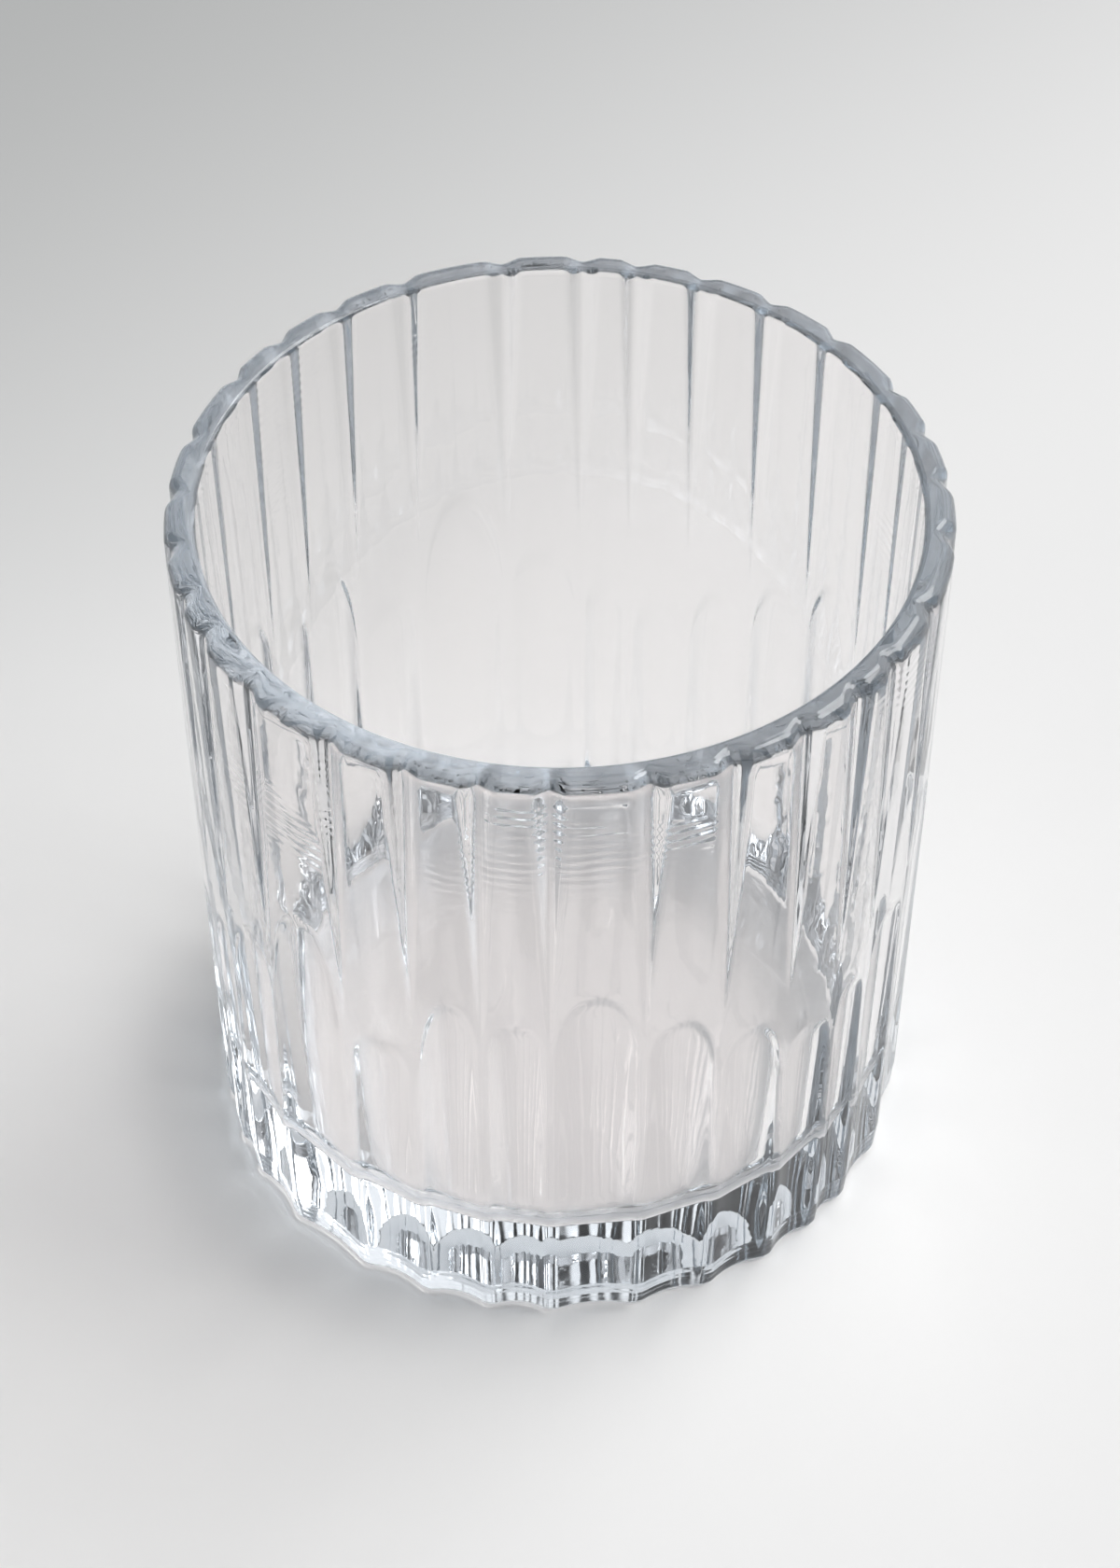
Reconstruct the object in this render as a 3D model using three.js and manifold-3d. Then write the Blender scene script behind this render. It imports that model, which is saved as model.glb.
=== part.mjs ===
// Rocks glass: one tumbler of pressed clear glass, fluted outside and smooth inside.
// Millimetres, +Z up, the foot stands on z = 0 and the axis of the glass is the Z axis.
// Angles go round from the front, -Y, towards +X.

import * as THREE from 'three';
import { mergeVertices } from 'three/addons/utils/BufferGeometryUtils.js';
import Module from 'manifold-3d';

// The plain silhouette, before the flutes are pressed into it
const HEIGHT = 86;
const RIM_RADIUS = 42;
const FOOT_RADIUS = 38;
const RIM_ROUND = 1.8;

// The foot: below the mould's parting line it draws in a little and rounds under
const PARTING_HEIGHT = 4.3;
const FOOT_TAPER = 0.4;
const FOOT_ROUND = 1.2;

// The hollow
const RIM_WALL = 3.5;
const HEEL_WALL = 4.2;
const FLOOR_THICKNESS = 10.5;
const FLOOR_FILLET = 6;
const LIP_ROUND = 0.7;

// The shallow dish under the base, which leaves a ring to stand on
const DISH_RADIUS = 30;
const DISH_DEPTH = 1.4;

// The flutes of one third of the mould, going round: each one's share of it and the height of its arch
const MOULD_THIRDS = 3;
const FIRST_FLUTE_ANGLE = -1.5;
const FLUTES = [
  { share: 14.5, arch: 51 },
  { share: 12.5, arch: 45 },
  { share: 12, arch: 40 },
  { share: 10.5, arch: 35 },
  { share: 8.5, arch: 37 },
  { share: 12.5, arch: 42 },
  { share: 16, arch: 52 },
  { share: 12, arch: 39 },
  { share: 11, arch: 48 },
  { share: 10.5, arch: 46 },
];

// The grooves between the reeds: V-shaped with a round bottom, they run out downwards
const GROOVE_DEPTH = 0.8;
const GROOVE_END_HEIGHT = 46;
const GROOVE_SLOPE = 0.54;
const GROOVE_ROUND = 0.5;

// The scoops below the reeds: hollows with arched tops, deeper towards the foot, with ridges between
const SCOOP_ARCH_DEPTH = 0.42;
const SCOOP_FOOT_DEPTH = 0.85;
const SCOOP_STEP = 3;
const RIDGE_LAND = 1.2;

// How finely the curves are divided
const STRIPS_PER_FLUTE = 8;
const HOLLOW_STRIPS = 90;
const DISH_STRIPS = 60;
const ROUND_STEPS = 3;
const FILLET_STEPS = 6;
const REED_STEPS = 4;
const SCOOP_STEPS = 3;
const OVERSHOOT = 2;

const GLASS = new THREE.MeshStandardMaterial({ color: 0xe4e7e8, roughness: 0.03, metalness: 0 });

const wasm = await Module();
wasm.setup();

// The slope of the straight outer wall, as radius gained for each millimetre of height
const WALL_SLOPE = (RIM_RADIUS - FOOT_RADIUS) / HEIGHT;
const wallRadius = (z) => FOOT_RADIUS + WALL_SLOPE * z;

// Every flute round the glass, with the angle it starts at and its width, both in radians
const totalShare = FLUTES.reduce((sum, flute) => sum + flute.share, 0);
const flutes = [];
let fluteStart = THREE.MathUtils.degToRad(FIRST_FLUTE_ANGLE);
for (let third = 0; third < MOULD_THIRDS; third += 1) {
  for (const { share, arch } of FLUTES) {
    const width = (2 * Math.PI / MOULD_THIRDS) * (share / totalShare);
    flutes.push({ start: fluteStart, width, arch });
    fluteStart += width;
  }
}
const meanArch = flutes.reduce((sum, flute) => sum + flute.arch, 0) / flutes.length;

// Heights on the plain wall: where the scoops run out at the mean arch, and where the rim starts to round
const meanScoopTop = meanArch + SCOOP_STEP;
const rimStart = HEIGHT - RIM_ROUND;

// An arch springs from its ridge at the height where the lower of the two arches beside that ridge would,
// and it would spring half its own width below its top, as a half circle does.
const springHeight = ({ arch, width }) => arch - FOOT_RADIUS * width / 2;
flutes.forEach((flute, k) => {
  const before = flutes.at(k - 1);
  const after = flutes[(k + 1) % flutes.length];
  flute.springs = [before, after].map((other) => Math.min(springHeight(flute), springHeight(other)));
  flute.hollowShare = 1 - RIDGE_LAND / (FOOT_RADIUS * flute.width);
});

// Across a flute, u runs from -1 to 1. The strips divide the hollow evenly,
// and half a ridge is left on each side.
function acrossFlute(flute, strip) {
  if (strip === 0) {
    return -1;
  }
  const hollowStrips = STRIPS_PER_FLUTE - 2;
  return flute.hollowShare * (2 * (strip - 1) / hollowStrips - 1);
}

// How full the hollow is at u, from 0 on the ridges to 1 in the middle of the flute
function hollowFullness(flute, u) {
  return Math.max(0, 1 - (u / flute.hollowShare) ** 2);
}

// The height at which a scoop reaches its full depth: half an ellipse from ridge to ridge
function archHeight(flute, u) {
  const spring = flute.springs[u < 0 ? 0 : 1];
  return spring + (flute.arch - spring) * Math.sqrt(hollowFullness(flute, u));
}

// How deep a groove is at u and height z. It grows evenly deeper from its lower end up to the rim,
// and its flanks climb as a hyperbola from the groove's line.
function grooveDepth(flute, u, z) {
  const depth = GROOVE_DEPTH * (z - GROOVE_END_HEIGHT) / (HEIGHT - GROOVE_END_HEIGHT);
  const fromLine = (1 - Math.abs(u)) * RIM_RADIUS * flute.width / 2;
  const flank = GROOVE_SLOPE * (Math.hypot(fromLine, GROOVE_ROUND) - GROOVE_ROUND);
  return Math.max(0, depth - flank);
}

// How deep a scoop is at u and height z. It grows evenly deeper from its arch down to the foot,
// and a smooth step ends it above the arch.
function scoopDepth(flute, u, z) {
  const arch = archHeight(flute, u);
  const down = THREE.MathUtils.clamp(1 - z / arch, 0, 1);
  const depth = THREE.MathUtils.lerp(SCOOP_ARCH_DEPTH, SCOOP_FOOT_DEPTH, down);
  const above = THREE.MathUtils.smoothstep(z - arch, 0, SCOOP_STEP);
  return depth * hollowFullness(flute, u) * (1 - above);
}

// The share of an arch's rise or fall that a ring of the plain wall follows:
// none at the foot and the rim, all of it at the arch
function archFollow(z) {
  const fromFoot = (z - PARTING_HEIGHT) / (meanArch - PARTING_HEIGHT);
  const fromRim = (rimStart - z) / (rimStart - meanScoopTop);
  return THREE.MathUtils.clamp(Math.min(fromFoot, fromRim), 0, 1);
}

// A quarter round as points about a centre, from one angle to another, both in radians
function roundPoints(centreR, centreZ, radius, from, to, steps) {
  return Array.from({ length: steps + 1 }, (_, k) => {
    const angle = from + (to - from) * k / steps;
    return new THREE.Vector2(centreR + radius * Math.cos(angle), centreZ + radius * Math.sin(angle));
  });
}

// Points up the straight wall between two heights, without the ends
function wallPoints(fromZ, toZ, steps) {
  return Array.from({ length: steps - 1 }, (_, k) => {
    const z = fromZ + (toZ - fromZ) * (k + 1) / steps;
    return new THREE.Vector2(wallRadius(z), z);
  });
}

// A lathe turns about Y, and this stands it up on Z with its seam at the front
function turned(profile, strips) {
  return new THREE.LatheGeometry(profile, strips).rotateX(Math.PI / 2);
}

// A closed geometry as a solid that can be cut
function toSolid(geometry) {
  geometry.deleteAttribute('normal');
  geometry.deleteAttribute('uv');
  const merged = mergeVertices(geometry);
  const corners = merged.index.array;
  const triVerts = [];
  for (let k = 0; k < corners.length; k += 3) {
    const [a, b, c] = corners.slice(k, k + 3);
    if (a !== b && b !== c && c !== a) {
      triVerts.push(a, b, c);
    }
  }
  return new wasm.Manifold(new wasm.Mesh({
    numProp: 3,
    vertProperties: new Float32Array(merged.attributes.position.array),
    triVerts: new Uint32Array(triVerts),
  }));
}

function toGeometry(solid) {
  const mesh = solid.getMesh();
  const geometry = new THREE.BufferGeometry();
  geometry.setAttribute('position', new THREE.BufferAttribute(mesh.vertProperties, 3));
  geometry.setIndex(new THREE.BufferAttribute(mesh.triVerts, 1));
  geometry.computeVertexNormals();
  return geometry;
}

// The solid outside: the plain silhouette turned on the axis, with its rings slid to the arches,
// its strips gathered between the ridges and the relief of the flutes pressed into it
function flutedBody() {
  const partingRadius = wallRadius(PARTING_HEIGHT);
  const footCentre = partingRadius - FOOT_TAPER - FOOT_ROUND;
  const rimCentre = wallRadius(rimStart) - RIM_ROUND;
  const profile = [
    new THREE.Vector2(0, 0),
    ...roundPoints(footCentre, FOOT_ROUND, FOOT_ROUND, -Math.PI / 2, 0, ROUND_STEPS),
    new THREE.Vector2(partingRadius, PARTING_HEIGHT),
    ...wallPoints(PARTING_HEIGHT, meanArch, SCOOP_STEPS),
    new THREE.Vector2(wallRadius(meanArch), meanArch),
    new THREE.Vector2(wallRadius(meanScoopTop), meanScoopTop),
    ...wallPoints(meanScoopTop, rimStart, REED_STEPS),
    ...roundPoints(rimCentre, rimStart, RIM_ROUND, 0, Math.PI / 2, ROUND_STEPS),
    new THREE.Vector2(0, HEIGHT),
  ];
  const strips = flutes.length * STRIPS_PER_FLUTE;
  const body = turned(profile, strips);
  const position = body.attributes.position;
  for (let k = 0; k < position.count; k += 1) {
    const plain = profile[k % profile.length];
    const strip = Math.floor(k / profile.length) % strips;
    if (plain.x > 0) {
      const flute = flutes[Math.floor(strip / STRIPS_PER_FLUTE)];
      const u = acrossFlute(flute, strip % STRIPS_PER_FLUTE);
      const slide = archFollow(plain.y) * (archHeight(flute, u) - meanArch);
      const z = plain.y + slide;
      const pressed = grooveDepth(flute, u, z) + scoopDepth(flute, u, z);
      const radius = plain.x + WALL_SLOPE * slide - pressed;
      const angle = flute.start + flute.width * (u + 1) / 2;
      position.setXYZ(k, radius * Math.sin(angle), -radius * Math.cos(angle), z);
    }
  }
  return toSolid(body);
}

// The room inside: a flat floor, a filleted corner, a wall that opens upwards and a rounded lip
function hollow() {
  const floorRadius = wallRadius(FLOOR_THICKNESS) - HEEL_WALL;
  const mouthRadius = RIM_RADIUS - RIM_WALL;
  const lipZ = HEIGHT - LIP_ROUND;
  const profile = [
    new THREE.Vector2(0, FLOOR_THICKNESS),
    ...roundPoints(floorRadius - FLOOR_FILLET, FLOOR_THICKNESS + FLOOR_FILLET, FLOOR_FILLET,
      -Math.PI / 2, 0, FILLET_STEPS),
    ...roundPoints(mouthRadius + LIP_ROUND, lipZ, LIP_ROUND, Math.PI, Math.PI / 2, ROUND_STEPS),
    new THREE.Vector2(mouthRadius + LIP_ROUND, HEIGHT + OVERSHOOT),
    new THREE.Vector2(0, HEIGHT + OVERSHOOT),
  ];
  return toSolid(turned(profile, HOLLOW_STRIPS));
}

// The dish under the base: a shallow spherical cap, deepest on the axis
function dish() {
  const ballRadius = (DISH_RADIUS ** 2 + DISH_DEPTH ** 2) / (2 * DISH_DEPTH);
  const edgeAngle = Math.acos(DISH_RADIUS / ballRadius);
  const cap = roundPoints(0, DISH_DEPTH - ballRadius, ballRadius, edgeAngle, Math.PI / 2, FILLET_STEPS);
  cap[cap.length - 1].x = 0;
  const profile = [
    new THREE.Vector2(0, -OVERSHOOT),
    new THREE.Vector2(DISH_RADIUS, -OVERSHOOT),
    ...cap,
  ];
  return toSolid(turned(profile, DISH_STRIPS));
}

const tumbler = new THREE.Mesh(toGeometry(flutedBody().subtract(hollow()).subtract(dish())), GLASS);
tumbler.name = 'tumbler';

const rocksGlass = new THREE.Group();
rocksGlass.add(tumbler);

export default rocksGlass;
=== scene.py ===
"""The looks of a rocks glass: a tumbler of clear pressed glass, reeded above and scooped below.

Metres, +Z up, the foot on z = 0. Angles go round from the front, -Y, towards +X.
"""
import math

import bpy
import numpy as np
from mathutils import Matrix, Vector


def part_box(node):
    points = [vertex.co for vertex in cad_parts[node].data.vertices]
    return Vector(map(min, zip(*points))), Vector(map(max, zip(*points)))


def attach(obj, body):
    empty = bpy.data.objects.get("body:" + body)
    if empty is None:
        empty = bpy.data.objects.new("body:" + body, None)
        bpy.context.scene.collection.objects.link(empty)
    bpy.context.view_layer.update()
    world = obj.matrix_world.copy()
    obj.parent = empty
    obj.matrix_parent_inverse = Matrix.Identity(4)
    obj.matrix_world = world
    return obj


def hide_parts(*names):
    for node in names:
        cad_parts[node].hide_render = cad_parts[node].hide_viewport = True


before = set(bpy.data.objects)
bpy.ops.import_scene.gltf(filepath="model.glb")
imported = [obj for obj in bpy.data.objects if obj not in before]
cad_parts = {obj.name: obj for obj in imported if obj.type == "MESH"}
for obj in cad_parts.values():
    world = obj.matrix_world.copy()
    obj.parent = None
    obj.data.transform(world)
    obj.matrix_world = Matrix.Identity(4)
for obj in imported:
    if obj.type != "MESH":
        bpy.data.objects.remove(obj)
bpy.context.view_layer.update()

MM = 0.001

# The plain silhouette of the glass, before the flutes are pressed into it
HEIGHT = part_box("tumbler")[1][2]
RIM_RADIUS = 42 * MM
FOOT_RADIUS = 38 * MM
WALL_SLOPE = (RIM_RADIUS - FOOT_RADIUS) / HEIGHT
RIM_ROUND = 1.8 * MM

# The foot: below the mould's parting line it draws in a little and rounds under
PARTING_HEIGHT = 4.3 * MM
FOOT_TAPER = 0.4 * MM
FOOT_ROUND = 1.2 * MM

# The hollow
RIM_WALL = 3.5 * MM
HEEL_WALL = 4.2 * MM
FLOOR_THICKNESS = 10.5 * MM
FLOOR_FILLET = 6 * MM
LIP_ROUND = 0.7 * MM

# The shallow dish under the base
DISH_RADIUS = 30 * MM
DISH_DEPTH = 1.4 * MM

# The flutes of one third of the mould, going round: the degrees that each one takes up, and the
# height of its arch in mm
MOULD_THIRDS = 3
FIRST_FLUTE_ANGLE = -1.5
FLUTE_ANGLES = (14.5, 12.5, 12, 10.5, 8.5, 12.5, 16, 12, 11, 10.5)
ARCH_HEIGHTS = (51, 45, 40, 35, 37, 42, 52, 39, 48, 46)

# The grooves between the reeds: V-shaped with a round bottom, they run out downwards
GROOVE_DEPTH = 0.8 * MM
GROOVE_END_HEIGHT = 46 * MM
GROOVE_SLOPE = 0.54
GROOVE_ROUND = 0.5 * MM
GROOVE_EDGE = 0.02 * MM

# The scoops below the reeds: hollows with arched tops, deeper towards the foot, ridges between
SCOOP_ARCH_DEPTH = 0.42 * MM
SCOOP_FOOT_DEPTH = 0.85 * MM
SCOOP_STEP = 3 * MM
SCOOP_EDGE = 0.12
RIDGE_LAND = 1.2 * MM

# How finely the surface is divided: strips across a flute, and rows along parts of the profile
STRIPS_PER_FLUTE = 24
ROUND_ROWS = 10
FOOT_ROWS = 5
SCOOP_ROWS = 22
STEP_ROWS = 10
REED_ROWS = 30
WALL_ROWS = 6
FLAT_ROWS = 6

# How close rows lie to the parting line, and the hair by which the round wall stays inside the
# box of the faceted solid
CRISP = 0.08 * MM
INSET = 0.01 * MM

# The camera: it looks down on the glass from the front
CAMERA_AIM = Vector((0, -20.2 * MM, 65 * MM))
CAMERA_DISTANCE = 728 * MM
CAMERA_PITCH = math.radians(44.9)
CAMERA_LENS = 158.2
SENSOR = 36

# The glass: clear, tinted in its depth, with a faint haze in clouds and a frosted foot. A range
# gives the noise levels between which a cloud or patch comes up
GLASS_IOR = 1.52
GLASS_TINT = (0.76, 0.82, 0.87, 1)
GLASS_DENSITY = 16
# The clear and haze colours are a little dim and pink: partly painted shade, which darkens what is
# seen through the glass as a shadowed floor behind would
CLEAR_COLOUR = (0.972, 0.953, 0.946, 1)
HAZE_COLOUR = (0.962, 0.943, 0.936, 1)
HAZE_SCALE = 60
HAZE_DETAIL = 3
HAZE_GRAIN = 0.6
HAZE_COLOUR_RANGE = (0.45, 0.75)
HAZE_FROST_RANGE = (0.55, 0.8)
HAZE_FROST = 0.015
FOOT_FROST = 0.1

# The mould's marks on the skin: how close they lie, and the share of the depth that each has
SKIN_DEPTH = 0.024 * MM
WAVE_SCALE = 140
WAVE_DETAIL = 2
WAVE_GRAIN = 0.45
STREAK_STRETCH = (1100, 1100, 25)
STREAK_DETAIL = 1
STREAK_SHARE = 0.08
PATCH_SCALE = 55
PATCH_RANGE = (0.56, 0.66)
WRINKLE_SCALE = 260
WRINKLE_BEND = 2.5
WRINKLE_DETAIL = 1
WRINKLE_DETAIL_SCALE = 0.8
WRINKLE_SHARE = 0.5
WRINKLE_START = 62 * MM
WRINKLE_FULL = 70 * MM
RIM_STREAK_STRETCH = 1200
RIM_STREAK_SHARE = 0.35
RING_SCALE = 330
RING_BEND = 1.5
RING_SHARE = 0.5

# The floor: pale in front, with painted shade that greys it towards the back left, where the light
# falls off
FLOOR_SIZE = 20
FLOOR_GAP = 0.03 * MM
FLOOR_PALE = (0.87, 0.87, 0.87, 1)
FLOOR_PAINTED_SHADE = (0.46, 0.468, 0.468, 1)
SHADE_SLANT = 0.92
SHADE_START = 0.04
SHADE_FULL = 0.29

# The soft lights: the direction to each one, the degrees from its middle where it starts and
# ends to fade, and its colour. A fill in front, one overhead, a window at the back right and two
# lamps on the right
ROOM_LIGHT = (0.012, 0.013, 0.015, 1)
SOFT_LIGHTS = (
    ((0.29, -0.8, 0.53), 18, 34, (0.9, 0.9, 0.91, 1)),
    ((0, 0, 1), 10, 30, (0.9, 0.9, 0.9, 1)),
    ((0.55, 0.67, 0.5), 32, 39, (1.25, 1.25, 1.25, 1)),
    ((0.49, 0.4, 0.77), 9, 18, (6.5, 6.49, 6.46, 1)),
    ((0.64, 0.0, 0.77), 9, 18, (6.5, 6.49, 6.46, 1)),
)

# How often light may bounce on its way, how often before it may be cut short, and how often
# in reflections
PATH_BOUNCES = 32
SURE_BOUNCES = 24
GLOSSY_BOUNCES = 16


def smoothstep(x):
    """0 below 0, 1 above 1, and three x squared less two x cubed between."""
    x = np.clip(x, 0, 1)
    return x * x * (3 - 2 * x)


def wall_radius(z):
    """The straight outer wall: the foot's radius plus the slope times the height."""
    return FOOT_RADIUS + WALL_SLOPE * z


class Flutes:
    """Each column of the mesh: its angle, its place u across its flute and that flute's sizes."""

    def __init__(self):
        count = MOULD_THIRDS * len(FLUTE_ANGLES)
        width = np.tile(np.radians(FLUTE_ANGLES), MOULD_THIRDS)
        width *= 2 * np.pi / width.sum()
        arch = np.tile(np.array(ARCH_HEIGHTS, float) * MM, MOULD_THIRDS)
        start = math.radians(FIRST_FLUTE_ANGLE) + np.concatenate([[0], np.cumsum(width)[:-1]])
        # an arch springs half its width below its top, or where its neighbour does if lower
        spring = arch - FOOT_RADIUS * width / 2
        before = np.minimum(spring, np.roll(spring, 1))
        after = np.minimum(spring, np.roll(spring, -1))
        # the columns lie closer together towards the ridges
        u = np.sin(np.pi / 2 * np.linspace(-1, 1, STRIPS_PER_FLUTE, endpoint=False))
        self.u = np.tile(u, count)
        flute = np.repeat(np.arange(count), STRIPS_PER_FLUTE)
        self.angle = start[flute] + width[flute] * (self.u + 1) / 2
        self.from_groove = (1 - np.abs(self.u)) * RIM_RADIUS * width[flute] / 2
        hollow = 1 - RIDGE_LAND / (FOOT_RADIUS * width[flute])
        inside = 1 - (self.u / hollow) ** 2
        self.fullness = (inside + np.hypot(inside, SCOOP_EDGE)) / 2
        spring_here = np.where(self.u < 0, before[flute], after[flute])
        self.arch = spring_here + (arch[flute] - spring_here) * np.sqrt(np.maximum(inside, 0))
        self.mean_arch = arch.mean()

    def groove(self, z):
        """How deep the groove is: its depth grows evenly from its lower end to the rim, and its
        sides climb from there as a hyperbola, round at the bottom and straight on the flanks, to
        a soft edge at the wall.
        """
        depth = GROOVE_DEPTH * (z - GROOVE_END_HEIGHT) / (HEIGHT - GROOVE_END_HEIGHT)
        flank = GROOVE_SLOPE * (np.hypot(self.from_groove, GROOVE_ROUND) - GROOVE_ROUND)
        left = depth - flank
        return (left + np.hypot(left, GROOVE_EDGE)) / 2

    def scoop(self, z):
        """How deep the scoop is: a depth that grows evenly from the arch to the foot, times the
        fullness across the flute, ended at the arch by a smooth step.
        """
        down = 1 - np.clip(z / self.arch, 0, 1)
        depth = SCOOP_ARCH_DEPTH + (SCOOP_FOOT_DEPTH - SCOOP_ARCH_DEPTH) * down
        return depth * self.fullness * (1 - smoothstep((z - self.arch) / SCOOP_STEP))

    def relief(self, z):
        """How far the surface stands out from the plain wall at the heights z: less the groove,
        less the scoop and less the hair of the inset.
        """
        return -self.groove(z) - self.scoop(z) - INSET

    def slide(self, z):
        """How far a ring of the plain wall moves up or down to follow the arches: the arch's
        height less the mean one, fading evenly to nothing towards the foot and the rim.
        """
        rim_start = HEIGHT - RIM_ROUND
        from_foot = (z - PARTING_HEIGHT) / (self.mean_arch - PARTING_HEIGHT)
        from_rim = (rim_start - z) / (rim_start - self.mean_arch - SCOOP_STEP)
        return np.clip(np.minimum(from_foot, from_rim), 0, 1) * (self.arch - self.mean_arch)


def quarter(centre_r, centre_z, radius, start, end):
    """Radii and heights on a round: the centre plus the radius times the cosine and the sine of
    an angle that goes evenly from start to end.
    """
    angle = np.linspace(math.radians(start), math.radians(end), ROUND_ROWS)
    radii = centre_r + radius * np.cos(angle)
    heights = centre_z + radius * np.sin(angle)
    return np.stack([radii, heights], axis=1)


def plain_outside(mean_arch):
    """The outer profile from the foot ring up to the top of the rim: foot round, drawn-in foot,
    straight wall, rim round. Rows lie close on both sides of the parting line and keep it crisp.
    """
    scoop_top = mean_arch + SCOOP_STEP
    rim_start = HEIGHT - RIM_ROUND
    heights = np.concatenate([
        [PARTING_HEIGHT, PARTING_HEIGHT + CRISP],
        np.linspace(PARTING_HEIGHT, mean_arch, SCOOP_ROWS)[1:-1],
        np.linspace(mean_arch, scoop_top, STEP_ROWS),
        np.linspace(scoop_top, rim_start, REED_ROWS)[1:-1],
    ])
    wall = np.stack([wall_radius(heights), heights], axis=1)
    foot_radius = wall[0, 0] - FOOT_TAPER
    foot = quarter(foot_radius - FOOT_ROUND, FOOT_ROUND, FOOT_ROUND, -90, 0)
    rise = np.append(np.linspace(0, 1, FOOT_ROWS)[1:-1], 1 - CRISP / PARTING_HEIGHT)[:, None]
    taper = foot[-1] + rise * (wall[0] - foot[-1])
    rim = quarter(wall_radius(rim_start) - RIM_ROUND, rim_start, RIM_ROUND, 0, 90)
    return np.concatenate([foot, taper, wall, rim])


def plain_inside():
    """The inner profile from the top of the rim down to the floor: lip round, straight wall,
    fillet, flat floor.
    """
    mouth = RIM_RADIUS - RIM_WALL
    heel = wall_radius(FLOOR_THICKNESS) - HEEL_WALL
    lip = quarter(mouth + LIP_ROUND, HEIGHT - LIP_ROUND, LIP_ROUND, 90, 180)
    fillet = quarter(heel - FLOOR_FILLET, FLOOR_THICKNESS + FLOOR_FILLET, FLOOR_FILLET, 0, -90)
    along = np.linspace(0, 1, WALL_ROWS)[1:-1, None]
    wall = lip[-1] + along * (fillet[0] - lip[-1])
    radii = np.linspace(fillet[-1, 0], 0, FLAT_ROWS)[1:-1]
    flat = np.stack([radii, np.full_like(radii, FLOOR_THICKNESS)], axis=1)
    return np.concatenate([lip, wall, fillet, flat])


def plain_dish():
    """The dish under the base, from the axis out: a shallow cap whose height falls with the
    radius squared.
    """
    radii = np.linspace(0, DISH_RADIUS, FLAT_ROWS)[1:]
    return np.stack([radii, DISH_DEPTH * (1 - (radii / DISH_RADIUS) ** 2)], axis=1)


def tumbler_rings():
    """The rings of the closed surface, from the dish over the rim to the floor, as an array of
    rings x columns x 3.

    Each ring is a profile point turned about Z. Outside, the ring follows the arches up and down
    and the relief of the flutes is added to its radius.
    """
    flutes = Flutes()
    outside = plain_outside(flutes.mean_arch)
    slide = flutes.slide(outside[:, 1:])
    out_z = outside[:, 1:] + slide
    out_r = outside[:, :1] + WALL_SLOPE * slide + flutes.relief(out_z)
    dish, inside = (np.repeat(part[:, :, None], flutes.angle.size, axis=2)
                    for part in (plain_dish(), plain_inside()))
    radius = np.concatenate([dish[:, 0], out_r, inside[:, 0]])
    height = np.concatenate([dish[:, 1], out_z, inside[:, 1]])
    across = radius * np.sin(flutes.angle)
    backwards = -radius * np.cos(flutes.angle)
    return np.stack([across, backwards, height], axis=2)


def closed_mesh(name, rings, low_pole, high_pole):
    """A mesh of rings joined by quads, closed by a fan of triangles on the axis at each end."""
    count, columns = rings.shape[:2]
    points = np.concatenate([rings.reshape(-1, 3), [low_pole, high_pole]])
    index = np.arange(count * columns).reshape(count, columns)
    after = np.roll(index, -1, axis=1)
    quads = np.stack([index[:-1], after[:-1], after[1:], index[1:]], axis=2).reshape(-1, 4)
    first = np.stack([np.full(columns, count * columns), after[0], index[0]], axis=1)
    last = np.stack([np.full(columns, count * columns + 1), index[-1], after[-1]], axis=1)
    mesh = bpy.data.meshes.new(name)
    mesh.from_pydata(points.tolist(), [], quads.tolist() + first.tolist() + last.tolist())
    mesh.polygons.foreach_set("use_smooth", np.ones(len(mesh.polygons), bool))
    mesh.update()
    piece = bpy.data.objects.new(name, mesh)
    bpy.context.collection.objects.link(piece)
    return piece


class Value:
    """A socket in a node tree. Sums, differences and products of values add their Math nodes."""

    def __init__(self, tree, socket):
        self.tree = tree
        self.socket = socket

    def node(self, kind, settings=None, out=0, **sockets):
        """A new node of this tree: its settings are set first, then its sockets' values or links.

        A socket goes by its name, with underscores for spaces, or by an underscore and its number.
        """
        made = self.tree.nodes.new(kind)
        for name, value in (settings or {}).items():
            setattr(made, name, value)
        for name, value in sockets.items():
            key = int(name[1:]) if name[0] == "_" else name.replace("_", " ")
            if isinstance(value, Value):
                self.tree.links.new(value.socket, made.inputs[key])
            else:
                made.inputs[key].default_value = value
        return Value(self.tree, made.outputs[out])

    def out(self, name):
        """Another output of the node that this value comes from."""
        return Value(self.tree, self.socket.node.outputs[name])

    def math(self, operation, *others):
        """A Math node of this value and the others."""
        sockets = {f"_{k}": value for k, value in enumerate((self, *others))}
        return self.node("ShaderNodeMath", {"operation": operation}, **sockets)

    def __add__(self, other):
        return self.math("ADD", other)

    def __sub__(self, other):
        return self.math("SUBTRACT", other)

    def __rsub__(self, other):
        return self.node("ShaderNodeMath", {"operation": "SUBTRACT"}, _0=other, _1=self)

    def __mul__(self, other):
        return self.math("MULTIPLY", other)

    __radd__ = __add__
    __rmul__ = __mul__

    def ramp(self, low, high):
        """This value's way from low to high, as a smooth step from 0 to 1."""
        return self.node("ShaderNodeMapRange", {"interpolation_type": "SMOOTHSTEP"},
                         Value=self, From_Min=low, From_Max=high)

    def mix(self, first, second):
        """The first colour where this value is 0 and the second where it is 1."""
        return self.node("ShaderNodeMix", {"data_type": "RGBA"}, out=2,
                         _0=self, _6=first, _7=second)


def shader(block):
    """A block's emptied node tree, as the value that its first nodes come from, and its output."""
    block.use_nodes = True
    block.node_tree.nodes.clear()
    use = "World" if isinstance(block, bpy.types.World) else "Material"
    return Value(block.node_tree, None), block.node_tree.nodes.new(f"ShaderNodeOutput{use}")


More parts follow.
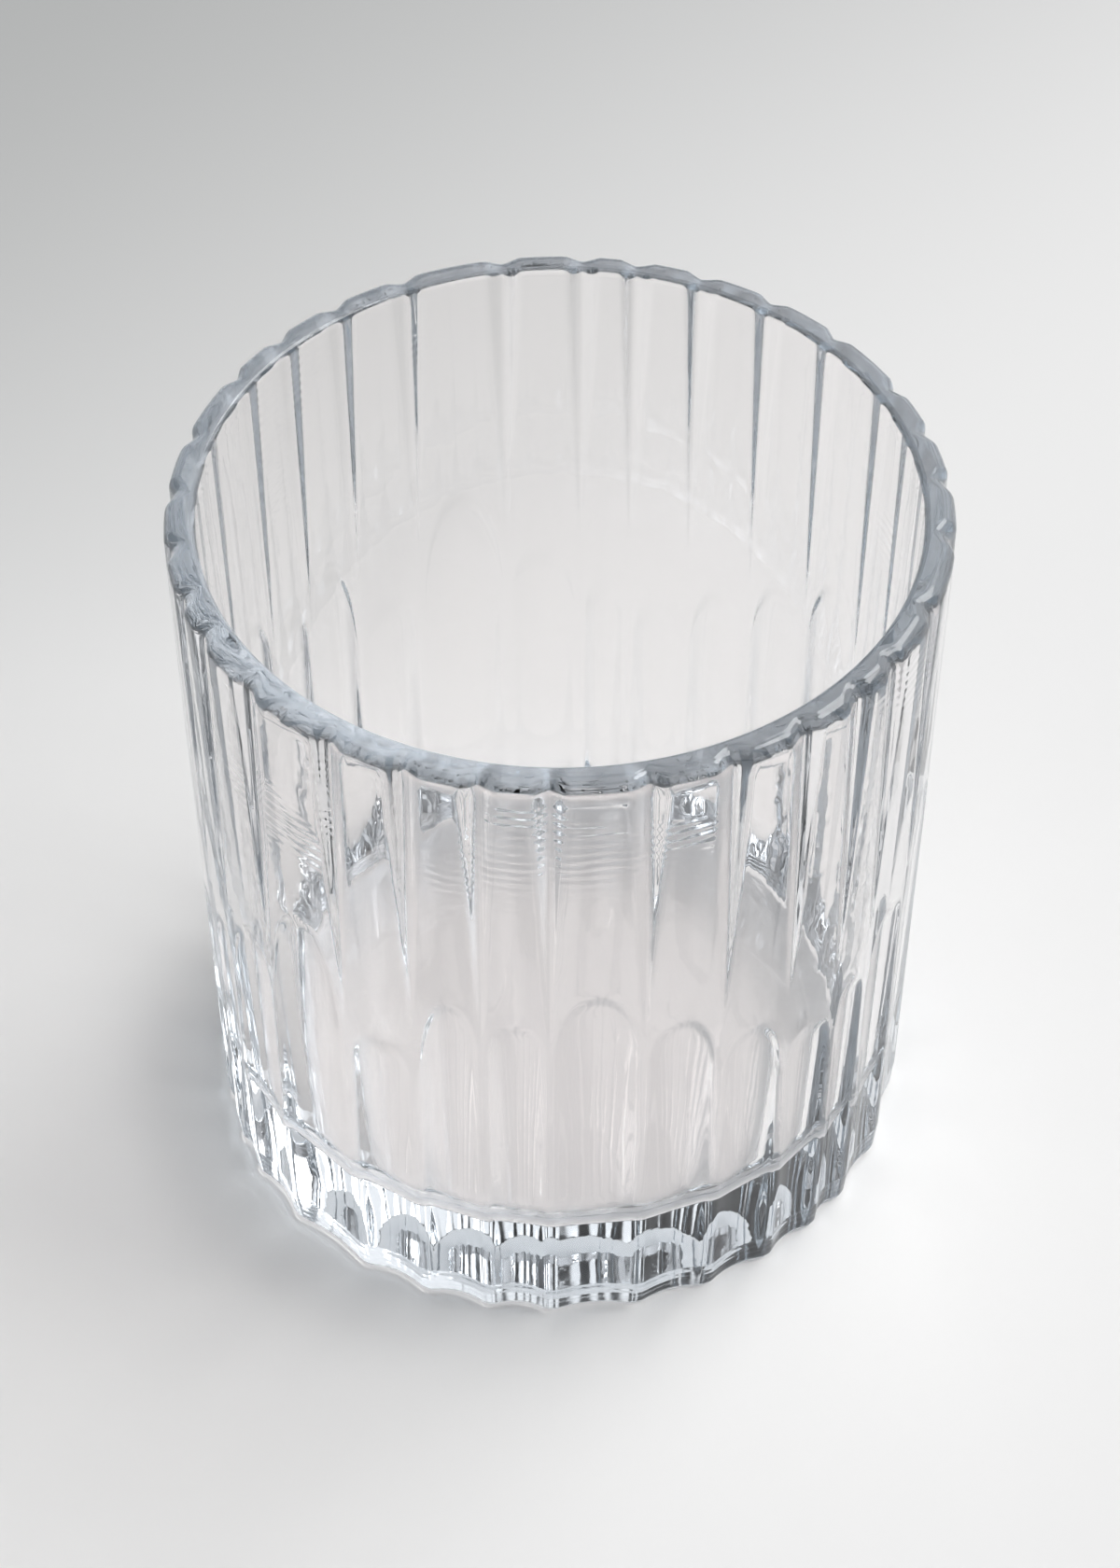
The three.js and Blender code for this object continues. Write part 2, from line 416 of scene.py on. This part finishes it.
def on_foot(height, radius):
    """1 on the outside of the foot below the parting line, 0 elsewhere."""
    below_line = 1 - height.ramp(PARTING_HEIGHT - CRISP, PARTING_HEIGHT)
    return below_line * radius.ramp(DISH_RADIUS, FOOT_RADIUS - HEEL_WALL / 2)


def mould_marks(place, height, radius):
    """The mould's marks on the skin, as heights in parts of its depth: soft waves all over,
    upright streaks, chill wrinkles in patches on the reeds under the rim, streaks that follow
    the rim, and fine rings round the foot.
    """
    noise = "ShaderNodeTexNoise"
    waves = place.node(noise, {}, Vector=place, Scale=WAVE_SCALE, Detail=WAVE_DETAIL,
                       Roughness=WAVE_GRAIN)
    upright = place.node("ShaderNodeVectorMath", {"operation": "MULTIPLY"},
                         _0=place, _1=STREAK_STRETCH)
    streaks = place.node(noise, {}, Vector=upright, Scale=1, Detail=STREAK_DETAIL)
    turned = place.node("ShaderNodeCombineXYZ", {}, X=radius * RIM_STREAK_STRETCH,
                        Y=height * RIM_STREAK_STRETCH)
    on_rim = height.ramp(HEIGHT - RIM_WALL, HEIGHT - RIM_ROUND)
    rim_streaks = place.node(noise, {}, Vector=turned, Scale=1, Detail=STREAK_DETAIL) * on_rim
    patches = place.node(noise, {}, Vector=place, Scale=PATCH_SCALE, Detail=0)
    on_reeds = radius.ramp(RIM_RADIUS - RIM_WALL, RIM_RADIUS - RIM_WALL / 2) * (1 - on_rim)
    chilled = on_reeds * height.ramp(WRINKLE_START, WRINKLE_FULL) * patches.ramp(*PATCH_RANGE)
    bands = {"wave_type": "BANDS", "bands_direction": "Z"}
    wrinkles = place.node("ShaderNodeTexWave", bands, out="Fac", Vector=place,
                          Scale=WRINKLE_SCALE, Distortion=WRINKLE_BEND, Detail=WRINKLE_DETAIL,
                          Detail_Scale=WRINKLE_DETAIL_SCALE)
    rings = place.node("ShaderNodeTexWave", bands, out="Fac", Vector=place, Scale=RING_SCALE,
                       Distortion=RING_BEND)
    return (waves + streaks * STREAK_SHARE + wrinkles * chilled * WRINKLE_SHARE
            + rim_streaks * RIM_STREAK_SHARE + rings * on_foot(height, radius) * RING_SHARE)


def clear_glass():
    """Pressed glass: clear, a little blue-grey in its depth, with faint marks on its skin."""
    material = bpy.data.materials.new("clear_glass")
    start, output = shader(material)
    place = start.node("ShaderNodeTexCoord", out="Object")
    axes = start.node("ShaderNodeSeparateXYZ", {}, Vector=place)
    height = axes.out("Z")
    radius = (axes.out("X") * axes.out("X") + axes.out("Y") * axes.out("Y")).math("SQRT")
    skin = start.node("ShaderNodeBump", {}, Strength=1.0, Distance=SKIN_DEPTH,
                      Height=mould_marks(place, height, radius))
    haze = start.node("ShaderNodeTexNoise", {}, Vector=place, Scale=HAZE_SCALE,
                      Detail=HAZE_DETAIL, Roughness=HAZE_GRAIN)
    # the glass's colour, dimmed in part as painted shade on what is seen through it, a little
    # darker in the haze clouds
    clear = haze.ramp(*HAZE_COLOUR_RANGE).mix(CLEAR_COLOUR, HAZE_COLOUR)
    frost = on_foot(height, radius) * FOOT_FROST + haze.ramp(*HAZE_FROST_RANGE) * HAZE_FROST
    body = start.node("ShaderNodeBsdfPrincipled", {}, Base_Color=clear, Roughness=frost,
                      Normal=skin, IOR=GLASS_IOR, Transmission_Weight=1.0)
    depth = start.node("ShaderNodeVolumeAbsorption", {}, Color=GLASS_TINT, Density=GLASS_DENSITY)
    material.node_tree.links.new(body.socket, output.inputs["Surface"])
    material.node_tree.links.new(depth.socket, output.inputs["Volume"])
    return material


def floor():
    """A pale floor as a wide flat sheet, with painted shade that greys it towards the back left,
    where the light falls off.
    """
    half = FLOOR_SIZE / 2
    corners = [(-half, -half), (half, -half), (half, half), (-half, half)]
    mesh = bpy.data.meshes.new("floor")
    mesh.from_pydata([(x, y, -FLOOR_GAP) for x, y in corners], [], [(0, 1, 2, 3)])
    sheet = bpy.data.objects.new("floor", mesh)
    bpy.context.collection.objects.link(sheet)
    material = bpy.data.materials.new("pale_floor")
    start, output = shader(material)
    place = start.node("ShaderNodeTexCoord", out="Object")
    axes = start.node("ShaderNodeSeparateXYZ", {}, Vector=place)
    # painted shade: the floor's colour greys towards the back left, in place of the lights'
    # falloff
    painted_shade = (axes.out("Y") - axes.out("X") * SHADE_SLANT).ramp(SHADE_START, SHADE_FULL)
    skin = start.node("ShaderNodeBsdfDiffuse", {}, Color=painted_shade.mix(FLOOR_PALE, FLOOR_PAINTED_SHADE))
    material.node_tree.links.new(skin.socket, output.inputs["Surface"])
    mesh.materials.append(material)


def studio():
    """The light: a dark room with a soft round patch for each light, mixed over what is behind."""
    world = bpy.data.worlds.new("studio")
    bpy.context.scene.world = world
    start, output = shader(world)
    way = start.node("ShaderNodeTexCoord", out="Generated")
    colour = ROOM_LIGHT
    for towards, core, edge, light in SOFT_LIGHTS:
        facing = start.node("ShaderNodeVectorMath", {"operation": "DOT_PRODUCT"}, out="Value",
                            _0=way, _1=Vector(towards).normalized())
        patch = facing.ramp(math.cos(math.radians(edge)), math.cos(math.radians(core)))
        colour = patch.mix(colour, light)
    glow = start.node("ShaderNodeBackground", {}, Color=colour, Strength=1.0)
    world.node_tree.links.new(glow.socket, output.inputs["Surface"])


def camera():
    """A long lens that looks down at the camera's pitch on its aim."""
    data = bpy.data.cameras.new("camera")
    data.lens = CAMERA_LENS
    data.sensor_width = SENSOR
    eye = bpy.data.objects.new("camera", data)
    bpy.context.collection.objects.link(eye)
    back = Vector((0, -math.cos(CAMERA_PITCH), math.sin(CAMERA_PITCH)))
    turn = (-back).to_track_quat("-Z", "Y").to_matrix().to_4x4()
    eye.matrix_world = Matrix.Translation(CAMERA_AIM + back * CAMERA_DISTANCE) @ turn
    bpy.context.scene.camera = eye


def tumbler():
    """The glass itself, in place of the plain solid."""
    low_pole, high_pole = (0, 0, DISH_DEPTH), (0, 0, FLOOR_THICKNESS)
    piece = closed_mesh("pressed_tumbler", tumbler_rings(), low_pole, high_pole)
    piece.data.materials.append(clear_glass())
    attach(piece, "root")
    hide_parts("tumbler")


scene = bpy.context.scene
scene.view_settings.view_transform = "Standard"
scene.cycles.max_bounces = PATH_BOUNCES
scene.cycles.min_light_bounces = SURE_BOUNCES
scene.cycles.blur_glossy = 0
scene.cycles.transmission_bounces = PATH_BOUNCES
scene.cycles.glossy_bounces = GLOSSY_BOUNCES

tumbler()
floor()
studio()
camera()
